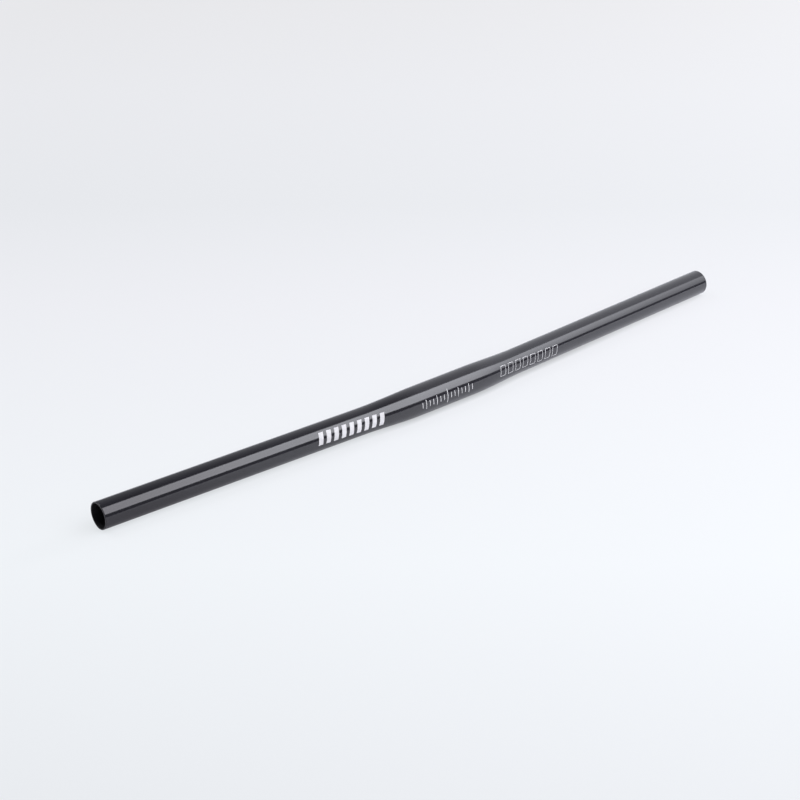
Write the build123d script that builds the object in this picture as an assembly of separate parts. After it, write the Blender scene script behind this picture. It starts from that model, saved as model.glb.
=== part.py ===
from build123d import *
import os
from math import asin, degrees

# A flat handlebar for a bicycle, as it lies by itself on a table.
#
# It is one seamless titanium tube. The middle keeps the full diameter, where a stem clamps
# it. On each side the tube is swaged down to the grip diameter over a smooth taper, and
# within that taper it is bent back a few degrees. Both tips are cut square and deburred.
#
# Origin: the middle of the clamp zone, on the tube's axis. +X runs along the clamp zone,
# the tips sweep back towards +Y, and +Z is up.

# Lengths, in millimetres. The developed length is measured along the centreline.
developed_length = 660.0
clamp_length = 58.0
taper_length = 58.0

# Outside diameters and walls. The tube is a little thicker in the wall at the stem.
clamp_diameter = 25.4
grip_diameter = 22.2
clamp_wall = 1.4
grip_wall = 1.2

# One bend on each side: it starts a little outside the clamp zone and turns by the sweep.
bend_offset = 4.0
bend_radius = 590.0
sweep_angle = 3.0

# Deburred edges at the tips.
outer_tip_chamfer = 0.4
inner_tip_chamfer = 0.3

# Round sections that shape each taper, its two ends counted.
taper_sections = 9

taper_end = clamp_length / 2 + taper_length
tip_distance = developed_length / 2


def draw_half_centreline():
    """The centreline of the +X side, from the middle of the clamp zone to the tip."""
    clamp_run = Line((0, 0), (clamp_length / 2 + bend_offset, 0))
    bend = JernArc(
        start=clamp_run @ 1,
        tangent=clamp_run % 1,
        radius=bend_radius,
        arc_size=sweep_angle,
    )
    grip_run_length = tip_distance - clamp_run.length - bend.length
    grip_run = PolarLine(bend @ 1, grip_run_length, direction=bend % 1)
    return Wire([clamp_run, bend, grip_run])


half_centreline = draw_half_centreline()


def round_section(distance, radius):
    """A disc square to the centreline, at a distance along it from the clamp's middle."""
    square_plane = Plane(
        origin=half_centreline.position_at(distance, PositionMode.LENGTH),
        x_dir=(0, 0, 1),
        z_dir=half_centreline.tangent_at(distance, PositionMode.LENGTH),
    )
    return square_plane * Circle(radius)


def taper_radius(share, clamp_radius, grip_radius):
    """The radius at a share of the taper: it leaves and meets the straight ends flush."""
    eased_share = share**2 * (3 - 2 * share)
    return clamp_radius + (grip_radius - clamp_radius) * eased_share


def make_round_form(clamp_radius, grip_radius):
    """A solid round form along the whole centreline: clamp zone, bent tapers and grips."""
    clamp_zone = extrude(
        round_section(0, clamp_radius), amount=clamp_length / 2, both=True
    )
    shares = [number / (taper_sections - 1) for number in range(taper_sections)]
    taper = loft(
        [
            round_section(
                clamp_length / 2 + share * taper_length,
                taper_radius(share, clamp_radius, grip_radius),
            )
            for share in shares
        ]
    )
    grip = extrude(
        round_section(taper_end, grip_radius), amount=tip_distance - taper_end
    )
    side = taper + grip
    return clamp_zone + side + mirror(side, about=Plane.YZ)


def tip_rims(tube):
    """The rims of both cut tips, in groups from the innermost to the outermost."""
    return tube.faces().filter_by(GeomType.PLANE).edges().group_by(SortBy.RADIUS)


def make_handlebar():
    """The whole tube, with its sweep level: the outside less the bore, then deburred."""
    outside = make_round_form(clamp_diameter / 2, grip_diameter / 2)
    bore = make_round_form(
        clamp_diameter / 2 - clamp_wall, grip_diameter / 2 - grip_wall
    )
    tube = outside - bore
    tube = chamfer(tip_rims(tube)[-1], outer_tip_chamfer)
    return chamfer(tip_rims(tube)[0], inner_tip_chamfer)


def lay_at_rest(tube):
    """Roll the tube about the clamp's axis until its middle and both tips touch a table."""
    tip_setback = (half_centreline @ 1).Y
    radius_step = (clamp_diameter - grip_diameter) / 2
    rest_roll = degrees(asin(radius_step / tip_setback))
    return Rot(X=-rest_roll) * tube


handlebar = lay_at_rest(make_handlebar())
handlebar.label = "handlebar"

os.makedirs("parts", exist_ok=True)
export_step(handlebar, "parts/handlebar.step")
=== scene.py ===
from math import asin, ceil, copysign, cos, hypot, pi, radians, sin, tan

import bmesh
import bpy
from mathutils import Matrix, Vector


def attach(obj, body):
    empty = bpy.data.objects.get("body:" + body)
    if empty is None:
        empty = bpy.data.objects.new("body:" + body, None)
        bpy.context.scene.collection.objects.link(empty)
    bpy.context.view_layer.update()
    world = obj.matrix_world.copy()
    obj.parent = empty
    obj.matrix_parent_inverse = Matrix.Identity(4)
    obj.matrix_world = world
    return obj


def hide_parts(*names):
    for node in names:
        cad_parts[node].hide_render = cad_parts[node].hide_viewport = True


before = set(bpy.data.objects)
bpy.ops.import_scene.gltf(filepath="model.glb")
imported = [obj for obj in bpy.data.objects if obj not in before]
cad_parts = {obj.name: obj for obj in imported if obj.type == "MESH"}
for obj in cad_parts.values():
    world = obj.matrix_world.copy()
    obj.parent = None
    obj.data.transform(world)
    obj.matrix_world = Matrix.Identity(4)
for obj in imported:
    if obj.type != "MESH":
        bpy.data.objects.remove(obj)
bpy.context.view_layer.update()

# The tube is seamless titanium, drawn round and then swaged down on both sides of the zone
# that the stem clamps. It is bent back a little inside each taper, and both tips are cut
# square and deburred. Sizes are the CAD's, in millimetres; finished meshes are in metres.
clamp_length = 58
taper_length = 58
developed_length = 660
clamp_radius = 12.7
grip_radius = 11.1
clamp_bore_radius = 11.3
grip_bore_radius = 9.9
bend_offset = 4
bend_radius = 590
sweep = radians(3)
outer_deburr = 0.4
inner_deburr = 0.3
deburr_segments = 3
taper_cuts = 30
sides_around = 144
ring_before_deburr = 0.6
metres_per_mm = 0.001
merge_distance = 0.0001

clamp_end = clamp_length / 2
taper_end = clamp_end + taper_length
tip_distance = developed_length / 2
bend_start = clamp_end + bend_offset
half_wall = (grip_radius - grip_bore_radius) / 2


def eased_radius(distance, wide, narrow):
    """The radius at a distance from the middle: it leaves and meets the straights flush."""
    share = (abs(distance) - clamp_end) / taper_length
    share = min(max(share, 0), 1)
    return wide + (narrow - wide) * share**2 * (3 - 2 * share)


def bend_back(point):
    """Moves a point of the straight bar to its place on the bar with its sweep, still level."""
    side = copysign(1, point.x)
    past_bend_start = max(abs(point.x) - bend_start, 0)
    turned = min(past_bend_start / bend_radius, sweep)
    straight_run = past_bend_start - turned * bend_radius
    reach = min(abs(point.x), bend_start)
    reach += bend_radius * sin(turned) + straight_run * cos(turned) - point.y * sin(turned)
    setback = bend_radius * (1 - cos(turned)) + straight_run * sin(turned)
    return Vector((side * reach, setback + point.y * cos(turned), point.z))


# At rest the bar lies on its clamp zone and both tips, so it has rolled about its long axis.
tip_setback = bend_back(Vector((tip_distance, 0, 0))).y
rest_roll = Matrix.Rotation(-asin((clamp_radius - grip_radius) / tip_setback), 3, "X")


def lay_on_table(bm):
    """Bends a mesh that was made on the straight bar, rolls it to its rest and makes it metres."""
    for vert in bm.verts:
        vert.co = rest_roll @ bend_back(vert.co) * metres_per_mm


def finish_piece(bm, name, materials):
    """Turns a closed mesh into a smooth-shaded object with these materials."""
    bmesh.ops.recalc_face_normals(bm, faces=bm.faces)
    for face in bm.faces:
        face.smooth = True
    mesh = bpy.data.meshes.new(name)
    bm.to_mesh(mesh)
    bm.free()
    for material in materials:
        mesh.materials.append(material)
    piece = bpy.data.objects.new(name, mesh)
    bpy.context.scene.collection.objects.link(piece)
    return piece


def linear(hex_colour):
    """An sRGB hex colour as the linear colour, with its alpha, that a shader takes."""
    channels = [int(hex_colour[start : start + 2], 16) / 255 for start in (1, 3, 5)]
    curve = [((c + 0.055) / 1.055) ** 2.4 if c > 0.04045 else c / 12.92 for c in channels]
    return (*curve, 1)


def add_node(tree, kind, settings, links):
    """Adds a node. Settings go to its sockets or properties, links bring other outputs in.

    A number stands for a socket by its place. A Mix of colours takes its share at 0 and its
    colours at 6 and 7, and gives its result at 2.
    """
    node = tree.nodes.new(kind)
    for name, value in settings.items():
        if isinstance(name, int) or name in node.inputs:
            node.inputs[name].default_value = value
        else:
            setattr(node, name, value)
    for name, output in links.items():
        tree.links.new(output, node.inputs[name])
    return node


def new_material(name):
    """A material with an empty tree, and that tree."""
    material = bpy.data.materials.new(name)
    material.use_nodes = True
    material.node_tree.nodes.clear()
    return material, material.node_tree


def per_metre(millimetres):
    """The scale at which a texture repeats about every so many millimetres."""
    return 1 / (millimetres * metres_per_mm)


# Gloss black enamel, sprayed and stoved. The eye sees a nearly black, faintly blue paint under
# a hard gloss that mirrors the lamps as sharp bands, with the slight ripple of sprayed paint.
enamel, tree = new_material("stoved_gloss_black_enamel")
place = add_node(tree, "ShaderNodeTexCoord", {}, {}).outputs["Object"]
enamel_clouding_mm = 70
enamel_sheen_patch_mm = 9
spray_ripple_mm = 2.2
spray_ripple_height = 0.0000012
clouding = add_node(
    tree,
    "ShaderNodeTexNoise",
    {"Scale": per_metre(enamel_clouding_mm), "Detail": 2},
    {"Vector": place},
)
paint_colour = add_node(
    tree,
    "ShaderNodeMix",
    {"data_type": "RGBA", 6: linear("#1c1b1f"), 7: linear("#212126")},
    {0: clouding.outputs["Fac"]},
)
sheen_patches = add_node(
    tree,
    "ShaderNodeTexNoise",
    {"Scale": per_metre(enamel_sheen_patch_mm), "Detail": 4},
    {"Vector": place},
)
paint_roughness = add_node(
    tree,
    "ShaderNodeMapRange",
    {"To Min": 0.09, "To Max": 0.15},
    {"Value": sheen_patches.outputs["Fac"]},
)
ripple = add_node(
    tree,
    "ShaderNodeTexNoise",
    {"Scale": per_metre(spray_ripple_mm), "Detail": 1},
    {"Vector": place},
)
rippled = add_node(
    tree,
    "ShaderNodeBump",
    {"Distance": spray_ripple_height},
    {"Height": ripple.outputs["Fac"]},
)
paint = add_node(
    tree,
    "ShaderNodeBsdfPrincipled",
    {"IOR": 1.6},
    {
        "Base Color": paint_colour.outputs[2],
        "Roughness": paint_roughness.outputs["Result"],
        "Normal": rippled.outputs["Normal"],
    },
)
add_node(tree, "ShaderNodeOutputMaterial", {}, {"Surface": paint.outputs["BSDF"]})

# The bore keeps the dark oxide of the drawing, with long fine lines that the mandrel left. The
# eye sees a dull black hole with hardly any shine in it. The lines are finer on a real bore, and
# are drawn as coarse as they need to be to show.
bore_oxide, tree = new_material("drawn_titanium_oxide_bore")
place = add_node(tree, "ShaderNodeTexCoord", {}, {}).outputs["Object"]
draw_line_mm = 0.8
draw_line_stretch = 60
draw_line_height = 0.00001
stretched = add_node(
    tree,
    "ShaderNodeMapping",
    {"Scale": (1 / draw_line_stretch, 1, 1)},
    {"Vector": place},
)
draw_lines = add_node(
    tree,
    "ShaderNodeTexNoise",
    {"Scale": per_metre(draw_line_mm), "Detail": 3},
    {"Vector": stretched.outputs["Vector"]},
)
oxide_colour = add_node(
    tree,
    "ShaderNodeMix",
    {"data_type": "RGBA", 6: linear("#1a1a1d"), 7: linear("#29292c")},
    {0: draw_lines.outputs["Fac"]},
)
lined = add_node(
    tree,
    "ShaderNodeBump",
    {"Distance": draw_line_height},
    {"Height": draw_lines.outputs["Fac"]},
)
oxide = add_node(
    tree,
    "ShaderNodeBsdfPrincipled",
    {"Roughness": 0.6},
    {"Base Color": oxide_colour.outputs[2], "Normal": lined.outputs["Normal"]},
)
add_node(tree, "ShaderNodeOutputMaterial", {}, {"Surface": oxide.outputs["BSDF"]})

# The wall of the right half is drawn as an outline, its tapers are eased, and it is spun round
# the axis. The rims of the tip are deburred, and the left half is its mirror image.
bm = bmesh.new()
wall_outline = [
    (0, clamp_radius),
    (clamp_end, clamp_radius),
    (taper_end, grip_radius),
    (tip_distance - outer_deburr - ring_before_deburr, grip_radius),
    (tip_distance, grip_radius),
    (tip_distance, grip_bore_radius),
    (tip_distance - inner_deburr - ring_before_deburr, grip_bore_radius),
    (taper_end, grip_bore_radius),
    (clamp_end, clamp_bore_radius),
    (0, clamp_bore_radius),
]
corners = [bm.verts.new((distance, 0, radius)) for distance, radius in wall_outline]
runs = [bm.edges.new(pair) for pair in zip(corners, corners[1:])]
outer_taper, bore_taper = runs[1], runs[7]
bmesh.ops.subdivide_edges(bm, edges=[outer_taper, bore_taper], cuts=taper_cuts)
for vert in bm.verts:
    if clamp_end < vert.co.x < taper_end:
        bore_here = eased_radius(vert.co.x, clamp_bore_radius, grip_bore_radius)
        if vert.co.z > bore_here + half_wall:
            vert.co.z = eased_radius(vert.co.x, clamp_radius, grip_radius)
        else:
            vert.co.z = bore_here
bmesh.ops.spin(
    bm,
    geom=bm.verts[:] + bm.edges[:],
    cent=(0, 0, 0),
    axis=(1, 0, 0),
    angle=2 * pi,
    steps=sides_around,
    use_merge=True,
)
for radius, deburr in ((grip_radius, outer_deburr), (grip_bore_radius, inner_deburr)):
    rim = [
        edge
        for edge in bm.edges
        if all(abs(vert.co.x - tip_distance) < merge_distance for vert in edge.verts)
        and all(abs(hypot(vert.co.y, vert.co.z) - radius) < merge_distance for vert in edge.verts)
    ]
    bmesh.ops.bevel(
        bm,
        geom=rim,
        offset=deburr,
        affect="EDGES",
        segments=deburr_segments,
        profile=0.5,
        material=-1,
    )
bmesh.ops.mirror(
    bm, geom=bm.verts[:] + bm.edges[:] + bm.faces[:], axis="X", merge_dist=merge_distance
)
bmesh.ops.recalc_face_normals(bm, faces=bm.faces)
for face in bm.faces:
    centre = face.calc_center_median()
    faces_axis = face.normal.y * centre.y + face.normal.z * centre.z < 0
    face.material_index = 1 if faces_axis else 0
lay_on_table(bm)
tube = finish_piece(bm, "swaged_tube", [enamel, bore_oxide])
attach(tube, "root")
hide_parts("handlebar")

# The print is white screen ink on the side that faces forwards in use: three groups of plain
# marks, which sit a few hundredths of a millimetre proud. Distances run along the bar from its
# middle, and heights run round the tube from the middle of its front.
ink_thickness = 0.04
ink_root = 0.03
ink_step_around = 0.55
ink_slant = 0.22
ink_edge_angle = radians(30)


def flat_mark(bm, width, height):
    """A flat mark round the origin, its width along the bar: a unit square, stretched."""
    mark = bmesh.ops.create_grid(bm, x_segments=1, y_segments=1, size=0.5)["verts"]
    bmesh.ops.scale(bm, vec=(width, height, 1), verts=mark)
    return mark


def slanted_bar(bm, middle, width, height):
    """A flat slanted mark, standing across the bar, with its middle at a distance along it."""
    shape = flat_mark(bm, width, height)
    for vert in shape:
        vert.co.x += middle + vert.co.y * ink_slant
    return shape[0].link_faces[0]


def hollow_out(bm, faces, line):
    """Leaves only an outline of these faces, with lines of one width."""
    bmesh.ops.inset_individual(bm, faces=faces, thickness=line)
    bmesh.ops.delete(bm, geom=faces, context="FACES")


def print_on_tube(bm, name, rise, dip, materials):
    """Gives flat marks the thickness of ink and wraps them round the tube's front, raised.

    The row dips by this share of its length, from its left end to its right.
    """
    half_height = max(abs(vert.co.y) for vert in bm.verts)
    middle = (min(vert.co.x for vert in bm.verts) + max(vert.co.x for vert in bm.verts)) / 2
    cuts = ceil(half_height / ink_step_around)
    for number in range(1 - cuts, cuts):
        bmesh.ops.bisect_plane(
            bm,
            geom=bm.verts[:] + bm.edges[:] + bm.faces[:],
            plane_co=(0, number * half_height / cuts, 0),
            plane_no=(0, 1, 0),
        )
    raised = bmesh.ops.extrude_face_region(bm, geom=bm.faces[:])["geom"]
    for vert in (part for part in raised if isinstance(part, bmesh.types.BMVert)):
        vert.co.z = ink_thickness
    for vert in bm.verts:
        radius = eased_radius(vert.co.x, clamp_radius, grip_radius)
        around = (vert.co.y + rise - dip * (vert.co.x - middle)) / radius
        radius += vert.co.z if vert.co.z > 0 else -ink_root
        vert.co.y = -radius * cos(around)
        vert.co.z = radius * sin(around)
    lay_on_table(bm)
    marks = finish_piece(bm, name, materials)
    marks.data.set_sharp_from_angle(angle=ink_edge_angle)
    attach(marks, "root")


# White screen ink, matt and slightly grainy where the mesh of the screen laid it down. The grain
# is finer on real ink, and is drawn as coarse as it needs to be to show.
ink, tree = new_material("white_screen_ink")
place = add_node(tree, "ShaderNodeTexCoord", {}, {}).outputs["Object"]
ink_grain_mm = 0.5
ink_grain_height = 0.000006
grain = add_node(
    tree,
    "ShaderNodeTexNoise",
    {"Scale": per_metre(ink_grain_mm), "Detail": 2},
    {"Vector": place},
)
ink_colour = add_node(
    tree,
    "ShaderNodeMix",
    {"data_type": "RGBA", 6: linear("#c8c7c7"), 7: linear("#dbdada")},
    {0: grain.outputs["Fac"]},
)
grained = add_node(
    tree,
    "ShaderNodeBump",
    {"Distance": ink_grain_height},
    {"Height": grain.outputs["Fac"]},
)
printed = add_node(
    tree,
    "ShaderNodeBsdfPrincipled",
    {"Roughness": 0.5},
    {"Base Color": ink_colour.outputs[2], "Normal": grained.outputs["Normal"]},
)
add_node(tree, "ShaderNodeOutputMaterial", {}, {"Surface": printed.outputs["BSDF"]})

# Left of the stem: a row of solid slanted bars.
solid_bars = 9
solid_pitch = 7.5
solid_width = 4.2
solid_height = 10.4
left_middle = -103
left_rise = 1.9
left_dip = 0.028
bm = bmesh.new()
for number in range(solid_bars):
    middle = left_middle + (number - (solid_bars - 1) / 2) * solid_pitch
    slanted_bar(bm, middle, solid_width, solid_height)
print_on_tube(bm, "left_print", left_rise, left_dip, [ink])

# In the clamp zone: a fine scale of ticks, by which the bar is centred in the stem.
tick_pitch = 3.9
ticks_each_side = 7
tick_width = 0.5
long_tick_height = 12
middling_tick_height = 8.2
short_tick_height = 4.9
tick_heights = {0: long_tick_height, 3: middling_tick_height, 6: middling_tick_height}
centre_middle = -5
bm = bmesh.new()
for number in range(-ticks_each_side, ticks_each_side + 1):
    tick = flat_mark(bm, tick_width, tick_heights.get(abs(number), short_tick_height))
    bmesh.ops.translate(bm, vec=(centre_middle + number * tick_pitch, 0, 0), verts=tick)
print_on_tube(bm, "centre_print", 0, 0, [ink])

# Right of the stem: the same slanted bars again, drawn only as outlines.
outlined_bars = 8
outlined_pitch = 9.2
outlined_width = 6
outlined_height = 8.9
outline_width = 0.45
right_middle = 91
right_rise = 1
right_dip = 0.035
bm = bmesh.new()
bars = []
for number in range(outlined_bars):
    middle = right_middle + (number - (outlined_bars - 1) / 2) * outlined_pitch
    bars.append(slanted_bar(bm, middle, outlined_width, outlined_height))
hollow_out(bm, bars, outline_width)
print_on_tube(bm, "right_print", right_rise, right_dip, [ink])

# The table is a wide sheet of pale matt laminate. The gloss of the bar mirrors it mostly as it is
# lit, and the camera sees it nearly white, with a part of the shadow that falls on it. Its sizes
# and places are in metres.
table_half_side = 24
table_height = -clamp_radius * metres_per_mm
bm = bmesh.new()
bmesh.ops.create_grid(bm, x_segments=1, y_segments=1, size=table_half_side)
bmesh.ops.translate(bm, vec=(0, 0, table_height), verts=bm.verts)

# Pale matt laminate with painted shade. As it is lit, its colour is darker by the left grip for
# every ray but the camera's.
# So only the gloss of the bar shows it, as a darker reflection.
laminate, tree = new_material("pale_matt_laminate")
away_from_camera = radians(40.8)
painted_shade_until = -0.3
painted_shade_gone_at = -0.14
place = add_node(tree, "ShaderNodeTexCoord", {}, {}).outputs["Object"]
turned = add_node(
    tree, "ShaderNodeMapping", {"Rotation": (0, 0, away_from_camera)}, {"Vector": place}
)
along_bar = add_node(tree, "ShaderNodeSeparateXYZ", {}, {"Vector": place})
across_view = add_node(tree, "ShaderNodeSeparateXYZ", {}, {"Vector": turned.outputs["Vector"]})
out_of_painted_shade = add_node(
    tree,
    "ShaderNodeMapRange",
    {"interpolation_type": "SMOOTHSTEP", "From Min": painted_shade_until, "From Max": painted_shade_gone_at},
    {"Value": along_bar.outputs["X"]},
)
rays = add_node(tree, "ShaderNodeLightPath", {}, {})
share_without_painted_shade = add_node(
    tree,
    "ShaderNodeMath",
    {"operation": "MAXIMUM"},
    {0: out_of_painted_shade.outputs["Result"], 1: rays.outputs["Is Camera Ray"]},
)
# The painted shade: a darker laminate colour towards the left, for every ray but the camera's.
laminate_with_painted_shade = add_node(
    tree,
    "ShaderNodeMix",
    {"data_type": "RGBA", 6: linear("#d8d5da"), 7: linear("#f6f7fa")},
    {0: share_without_painted_shade.outputs[0]},
)
lit = add_node(tree, "ShaderNodeBsdfDiffuse", {}, {"Color": laminate_with_painted_shade.outputs[2]})

# What the camera sees of it changes its tone from near to far, is palest in front of the bar and
# dims a little to the right. That is within an oval round the bar, past which it is as white as
# the studio.
near_end = -0.55
far_end = 1.2
nearest_tone = "#e8ebee"
farthest_tone = "#ebebed"
tones_between = {0.17: "#eff3f6", 0.43: "#eaebef", 0.57: "#e4e6e9", 0.77: "#e9eaed"}
left_side = -0.54
right_side = 0.47
left_strength = 0.995
right_strength = 0.975
lit_oval_middle = 0.3
lit_oval_half_width = 0.7
lit_oval_half_depth = 1.15
lit_oval_fade = 1.5
studio_white = linear("#f0f2f5")
depth = add_node(
    tree,
    "ShaderNodeMapRange",
    {"From Min": near_end, "From Max": far_end},
    {"Value": across_view.outputs["Y"]},
)
backdrop_fade = add_node(tree, "ShaderNodeValToRGB", {}, {"Fac": depth.outputs["Result"]})
stops = backdrop_fade.color_ramp.elements
stops[0].color = linear(nearest_tone)
stops[1].color = linear(farthest_tone)
for position, tone in tones_between.items():
    stops.new(position).color = linear(tone)
to_dim_side = add_node(
    tree,
    "ShaderNodeMapRange",
    {
        "From Min": left_side,
        "From Max": right_side,
        "To Min": left_strength,
        "To Max": right_strength,
    },
    {"Value": across_view.outputs["X"]},
)
dimmed_fade = add_node(
    tree,
    "ShaderNodeVectorMath",
    {"operation": "SCALE"},
    {0: backdrop_fade.outputs["Color"], "Scale": to_dim_side.outputs["Result"]},
)
in_lit_oval = add_node(
    tree,
    "ShaderNodeMapping",
    {
        "Location": (0, -lit_oval_middle / lit_oval_half_depth, 0),
        "Scale": (1 / lit_oval_half_width, 1 / lit_oval_half_depth, 1),
    },
    {"Vector": turned.outputs["Vector"]},
)
off_middle = add_node(
    tree,
    "ShaderNodeVectorMath",
    {"operation": "LENGTH"},
    {0: in_lit_oval.outputs["Vector"]},
)
past_oval = add_node(
    tree,
    "ShaderNodeMapRange",
    {"interpolation_type": "SMOOTHSTEP", "From Min": 1, "From Max": lit_oval_fade},
    {"Value": off_middle.outputs["Value"]},
)
glow_colour = add_node(
    tree,
    "ShaderNodeMix",
    {"data_type": "RGBA", 7: studio_white},
    {0: past_oval.outputs["Result"], 6: dimmed_fade.outputs["Vector"]},
)

# A thin contact shadow lies under the bar. It is deep from the clamp zone, which touches the
# table, to the taper and print on the right, and faint towards both tips.
contact_shadow_reach = 0.005
contact_shadow_samples = 8
deep_shadow_tone = 0.7
faint_shadow_tone = 0.93
faint_until = -0.11
deep_from = -0.01
deep_until = 0.13
faint_from = 0.26
round_about = add_node(
    tree,
    "ShaderNodeAmbientOcclusion",
    {"samples": contact_shadow_samples, "Distance": contact_shadow_reach},
    {},
)
left_shadow_tone = add_node(
    tree,
    "ShaderNodeMapRange",
    {
        "interpolation_type": "SMOOTHSTEP",
        "From Min": faint_until,
        "From Max": deep_from,
        "To Min": faint_shadow_tone,
        "To Max": deep_shadow_tone,
    },
    {"Value": along_bar.outputs["X"]},
)
shadow_tone = add_node(
    tree,
    "ShaderNodeMapRange",
    {
        "interpolation_type": "SMOOTHSTEP",
        "From Min": deep_until,
        "From Max": faint_from,
        "To Max": faint_shadow_tone,
    },
    {"Value": along_bar.outputs["X"], "To Min": left_shadow_tone.outputs["Result"]},
)
contact_shadow = add_node(
    tree,
    "ShaderNodeMapRange",
    {"To Max": 1},
    {"Value": round_about.outputs["AO"], "To Min": shadow_tone.outputs["Result"]},
)
glow = add_node(
    tree,
    "ShaderNodeEmission",
    {},
    {"Color": glow_colour.outputs[2], "Strength": contact_shadow.outputs["Result"]},
)

# The camera sees mostly this glow, and only the glow past the oval. The gloss sees a little.
near_glow_share = 0.84
mirrored_share = 0.15
seen_share = add_node(
    tree,
    "ShaderNodeMapRange",
    {"To Min": near_glow_share, "To Max": 1},
    {"Value": past_oval.outputs["Result"]},
)
looked_at = add_node(
    tree,
    "ShaderNodeMath",
    {"operation": "ADD"},
    {0: rays.outputs["Is Camera Ray"], 1: rays.outputs["Is Transmission Ray"]},
)
glow_looked_at = add_node(
    tree,
    "ShaderNodeMath",
    {"operation": "MULTIPLY"},
    {0: looked_at.outputs[0], 1: seen_share.outputs["Result"]},
)
glow_share = add_node(
    tree,
    "ShaderNodeMath",
    {"operation": "MULTIPLY_ADD", 1: mirrored_share},
    {0: rays.outputs["Is Glossy Ray"], 2: glow_looked_at.outputs[0]},
)
shown = add_node(
    tree,
    "ShaderNodeMixShader",
    {},
    {0: glow_share.outputs[0], 1: lit.outputs[0], 2: glow.outputs[0]},
)
add_node(tree, "ShaderNodeOutputMaterial", {}, {"Surface": shown.outputs[0]})
table = finish_piece(bm, "table", [laminate])

# A large softbox hangs in front and to the right, long side along the bar and its right end a
# little lower. Its lower edge is well above the table, which leaves the thin dark line under the
# bright band in the gloss. Its cloth is brightest left of its middle, where the lamp in it is.
softbox_lower_edge = radians(22)
softbox_upper_edge = radians(77)
softbox_distance = 1.2
softbox_middle = 0.95
softbox_length = 2.4
softbox_roll = radians(-4)
softbox_watts = 45
softbox_tint = (0.985, 1, 1.07)
left_cloth_tone = "#b8b4b4"
right_cloth_tone = "#8c8c8c"
cloth_tones_between = {
    0.19: "#dddada",
    0.33: "#ffffff",
    0.46: "#ffffff",
    0.56: "#ebebeb",
    0.7: "#c8c8c8",
    0.8: "#a9a9a9",
}
softbox_angle = (softbox_lower_edge + softbox_upper_edge) / 2
softbox_spread = (softbox_upper_edge - softbox_lower_edge) / 2
softbox_width = 2 * softbox_distance * tan(softbox_spread)
softbox_setback = softbox_distance * cos(softbox_angle)
softbox_height = softbox_distance * sin(softbox_angle)


def hang_lamp(name, size, watts, tint, place, aims_at, roll=0, in_gloss=True):
    """A rectangular lamp, in metres, that shines at a point and that the camera doesn't see."""
    lamp = bpy.data.lights.new(name, "AREA")
    lamp.shape = "RECTANGLE"
    lamp.size, lamp.size_y = size
    lamp.energy = watts
    lamp.color = tint
    hung = bpy.data.objects.new(name, lamp)
    hung.location = place
    aim = Vector(aims_at) - Vector(place)
    aimed = aim.to_track_quat("-Z", "Y").to_matrix() @ Matrix.Rotation(roll, 3, "Z")
    hung.rotation_euler = aimed.to_euler()
    hung.visible_camera = False
    hung.visible_glossy = in_gloss
    bpy.context.scene.collection.objects.link(hung)
    return lamp


softbox = hang_lamp(
    "softbox",
    (softbox_length, softbox_width),
    softbox_watts,
    softbox_tint,
    (softbox_middle, -softbox_setback, softbox_height),
    (softbox_middle, 0, 0),
    softbox_roll,
)
softbox.use_nodes = True
tree = softbox.node_tree
tree.nodes.clear()
across_cloth = add_node(
    tree,
    "ShaderNodeSeparateXYZ",
    {},
    {"Vector": add_node(tree, "ShaderNodeNewGeometry", {}, {}).outputs["Parametric"]},
)
cloth_glow = add_node(tree, "ShaderNodeValToRGB", {}, {"Fac": across_cloth.outputs["X"]})
stops = cloth_glow.color_ramp.elements
stops[0].color = linear(left_cloth_tone)
stops[1].color = linear(right_cloth_tone)
for position, tone in cloth_tones_between.items():
    stops.new(position).color = linear(tone)
bulb = add_node(tree, "ShaderNodeEmission", {}, {"Color": cloth_glow.outputs["Color"]})
add_node(tree, "ShaderNodeOutputLight", {}, {"Surface": bulb.outputs[0]})

# A second lamp over the far side fills in the table and keeps the shadow under the bar soft.
lamp_tint = (1, 1, 1.03)
overhead_side = 0.9
overhead_watts = 7
overhead_place = (-0.4, 0.75, 1.35)
hang_lamp(
    "overhead_lamp",
    (overhead_side, overhead_side),
    overhead_watts,
    lamp_tint,
    overhead_place,
    (0, 0, 0),
)

# A third stands beyond the bar's right tip and makes the table a little brighter on that side.
# The gloss doesn't mirror it, so the end of the bar has no bright spot.
side_lamp_side = 0.5
side_lamp_watts = 26
side_lamp_place = (2.2, 0, 0.58)
side_lamp_aims_at = (0.3, 0, 0)
hang_lamp(
    "side_lamp",
    (side_lamp_side, side_lamp_side),
    side_lamp_watts,
    lamp_tint,
    side_lamp_place,
    side_lamp_aims_at,
    in_gloss=False,
)

# The studio round it is dim. Its wall is paler on the right, though less so straight past the
# bar's tip, and a little paler at the back. In front it has a faint even glow, which the gloss
# shows between the softbox and the table. The camera sees all of it as plain white.

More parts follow.
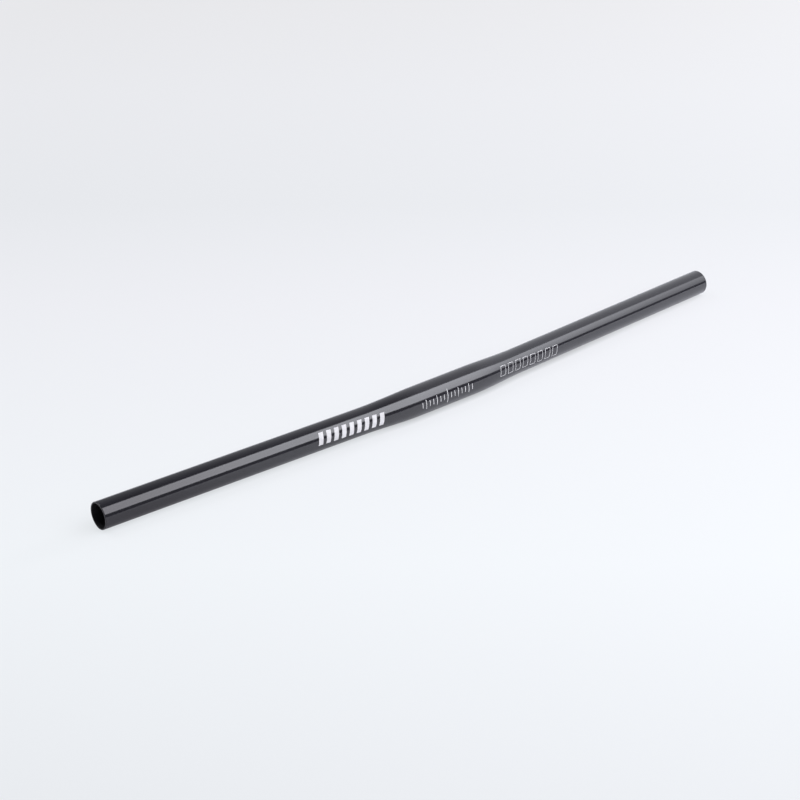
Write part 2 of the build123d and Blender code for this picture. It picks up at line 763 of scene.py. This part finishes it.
# Each span is a stretch of the direction's X or Y, which go from -1 to 1, over which it eases in.
wall_spans = {
    "right": ("X", 0.42, 0.72),
    "past_tip": ("X", 0.82, 0.95),
    "back": ("Y", -0.1, 0.8),
    "off_front": ("Y", -0.6, -0.1),
}
right_wall = 0.9
past_tip_wall = -0.7
back_wall = 0.22
ceiling = 0.1
front_gap = 0.16
world = bpy.data.worlds.new("studio")
bpy.context.scene.world = world
world.use_nodes = True
tree = world.node_tree
tree.nodes.clear()
direction = add_node(
    tree,
    "ShaderNodeSeparateXYZ",
    {},
    {"Vector": add_node(tree, "ShaderNodeTexCoord", {}, {}).outputs["Generated"]},
)
turned_to = {}
for wall, (axis, begins, ends) in wall_spans.items():
    turned_to[wall] = add_node(
        tree,
        "ShaderNodeMapRange",
        {"interpolation_type": "SMOOTHSTEP", "From Min": begins, "From Max": ends},
        {"Value": direction.outputs[axis]},
    ).outputs["Result"]
pale_right = add_node(
    tree,
    "ShaderNodeMath",
    {"operation": "MULTIPLY_ADD", 1: right_wall, 2: ceiling},
    {0: turned_to["right"]},
)
dim_past_tip = add_node(
    tree,
    "ShaderNodeMath",
    {"operation": "MULTIPLY_ADD", 1: past_tip_wall},
    {0: turned_to["past_tip"], 2: pale_right.outputs[0]},
)
paler_back = add_node(
    tree,
    "ShaderNodeMath",
    {"operation": "MULTIPLY_ADD", 1: back_wall},
    {0: turned_to["back"], 2: dim_past_tip.outputs[0]},
)
walls = add_node(
    tree,
    "ShaderNodeMapRange",
    {"To Min": front_gap},
    {"Value": turned_to["off_front"], "To Max": paler_back.outputs[0]},
)
surroundings = add_node(
    tree,
    "ShaderNodeBackground",
    {"Color": linear("#f5f7ff")},
    {"Strength": walls.outputs["Result"]},
)
backdrop = add_node(tree, "ShaderNodeBackground", {"Color": studio_white}, {})
rays = add_node(tree, "ShaderNodeLightPath", {}, {})
either = add_node(
    tree,
    "ShaderNodeMixShader",
    {},
    {0: rays.outputs["Is Camera Ray"], 1: surroundings.outputs[0], 2: backdrop.outputs[0]},
)
add_node(tree, "ShaderNodeOutputWorld", {}, {"Surface": either.outputs[0]})

# The camera stands where the photo was taken from, in front, to the left and above. Its lens and
# place come from a fit to the outline of the tube, with the diameter of the grips as the scale.
lens_mm = 94.5
sensor_mm = 36
farthest_seen = 100
camera_place = (-1.042844, -1.153358, 0.780461)
looks_at = Vector((-0.028859, 0.020225, -0.007019))
view = bpy.data.cameras.new("camera")
view.lens = lens_mm
view.sensor_width = sensor_mm
view.clip_end = farthest_seen
camera = bpy.data.objects.new("camera", view)
camera.location = camera_place
camera.rotation_euler = (looks_at - camera.location).to_track_quat("-Z", "Y").to_euler()
bpy.context.scene.collection.objects.link(camera)
bpy.context.scene.camera = camera
bpy.context.scene.view_settings.view_transform = "Standard"
